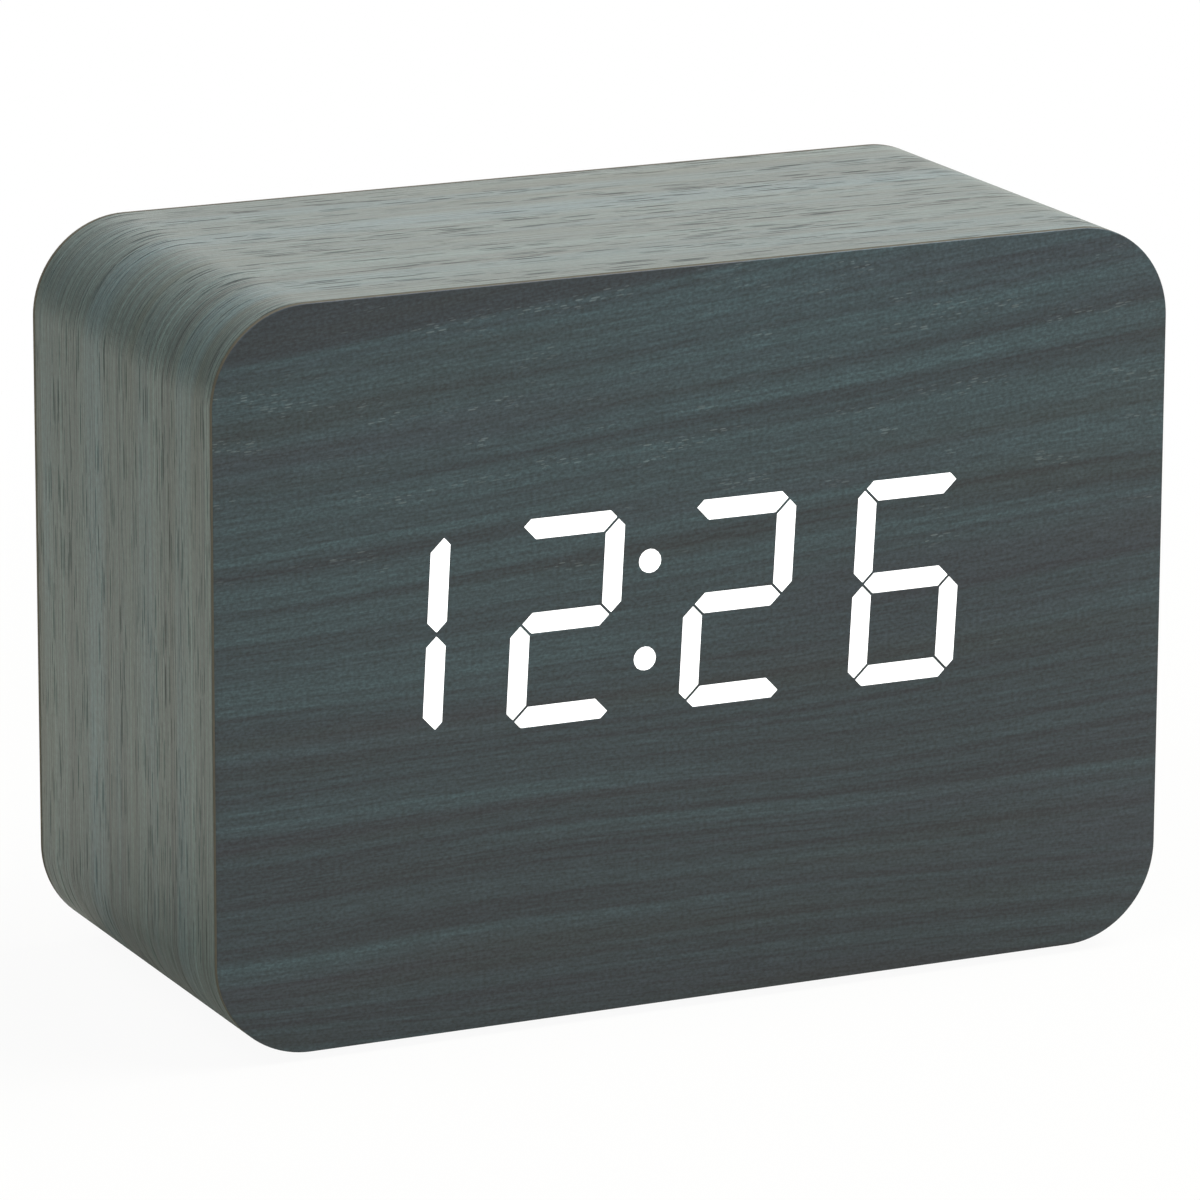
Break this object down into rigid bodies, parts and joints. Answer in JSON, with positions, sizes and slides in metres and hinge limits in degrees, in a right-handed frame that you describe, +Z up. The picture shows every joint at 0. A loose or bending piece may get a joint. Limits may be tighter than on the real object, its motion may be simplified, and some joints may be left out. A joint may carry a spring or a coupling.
{
  "type": "digital alarm clock",
  "caption": "Rounded wood-veneer block clock with white seven-segment digits shining through its front, and a rear panel with battery door, buttons and power inlet.",
  "frame": {"origin": "centre of the clock's outline on the surface that its four pads stand on", "axes": "+X to the right of someone reading the display, along the clock's length; +Y from the display towards the back; +Z up"},
  "size_m": [0.1, 0.045, 0.0728],
  "materials": {
    "stained_veneer": "blue-grey stained veneer, open grain, satin",
    "fibreboard": "raw, matt",
    "lit_film": "lit from behind",
    "white_plastic": "moulded",
    "circuit_board": "solder mask",
    "screw_steel": "zinc plated",
    "black_moulding": "moulded",
    "panel_plastic": "spark-eroded texture",
    "cell_wrap": "printed sleeve over a can",
    "nickel_plate": "nickel plated",
    "button_rubber": "satin",
    "thermistor_resin": "dipped",
    "grey_cable": "matt",
    "black_wire": "satin",
    "red_wire": "satin",
    "foot_rubber": "matt"
  },
  "bodies": {
    "case": {"front_veneer": "stained_veneer", "band_veneer": "stained_veneer", "rear_veneer": "stained_veneer", "front_board": "fibreboard", "case_ring_front": "fibreboard", "case_ring_rear": "fibreboard", "rear_board": "fibreboard", "hours_tens_light": "lit_film", "hours_units_light": "lit_film", "minutes_tens_light": "lit_film", "minutes_units_light": "lit_film", "colon_light": "lit_film", "reflector_block": "white_plastic", "display_board": "circuit_board", "display_screw_1": "screw_steel", "display_screw_2": "screw_steel", "display_screw_3": "screw_steel", "display_screw_4": "screw_steel", "controller_chip": "black_moulding", "clock_crystal": "screw_steel", "rear_panel": "panel_plastic", "panel_screw_1": "screw_steel", "panel_screw_2": "screw_steel", "panel_screw_3": "screw_steel", "panel_screw_4": "screw_steel", "cell_1": "cell_wrap", "cell_2": "cell_wrap", "cell_3": "cell_wrap", "contact_negative": "nickel_plate", "contact_positive": "nickel_plate", "contact_bridge_upper": "nickel_plate", "contact_bridge_lower": "nickel_plate", "control_board": "circuit_board", "control_screw_1": "screw_steel", "control_screw_2": "screw_steel", "switch_set": "screw_steel", "switch_up": "screw_steel", "switch_down": "screw_steel", "buzzer": "black_moulding", "microphone": "screw_steel", "thermistor": "thermistor_resin", "usb_socket": "nickel_plate", "usb_tongue": "black_moulding", "ribbon_cable": "grey_cable", "battery_lead_negative": "black_wire", "battery_lead_positive": "red_wire", "foot_front_left": "foot_rubber", "foot_front_right": "foot_rubber", "foot_rear_left": "foot_rubber", "foot_rear_right": "foot_rubber"},
    "set_button": {"button_set": "button_rubber", "plunger_set": "black_moulding"},
    "up_button": {"button_up": "button_rubber", "plunger_up": "black_moulding"},
    "down_button": {"button_down": "button_rubber", "plunger_down": "black_moulding"},
    "door": {"battery_door": "panel_plastic"}
  },
  "joints": [
    {"name": "set_press", "type": "slide", "parent": "case", "child": "set_button", "axis": [0, -1, 0], "range_m": [0, 0.0004], "stiffness_N_per_m": 300, "springref_m": -0.002},
    {"name": "up_press", "type": "slide", "parent": "case", "child": "up_button", "axis": [0, -1, 0], "range_m": [0, 0.0004], "stiffness_N_per_m": 300, "springref_m": -0.002},
    {"name": "down_press", "type": "slide", "parent": "case", "child": "down_button", "axis": [0, -1, 0], "range_m": [0, 0.0004], "stiffness_N_per_m": 300, "springref_m": -0.002},
    {"name": "door_tilt", "type": "hinge", "parent": "case", "child": "door", "pos_m": [-0.0095, 0.0223, 0.0188], "axis": [-1, 0, 0], "range_deg": [0, 60]}
  ]
}
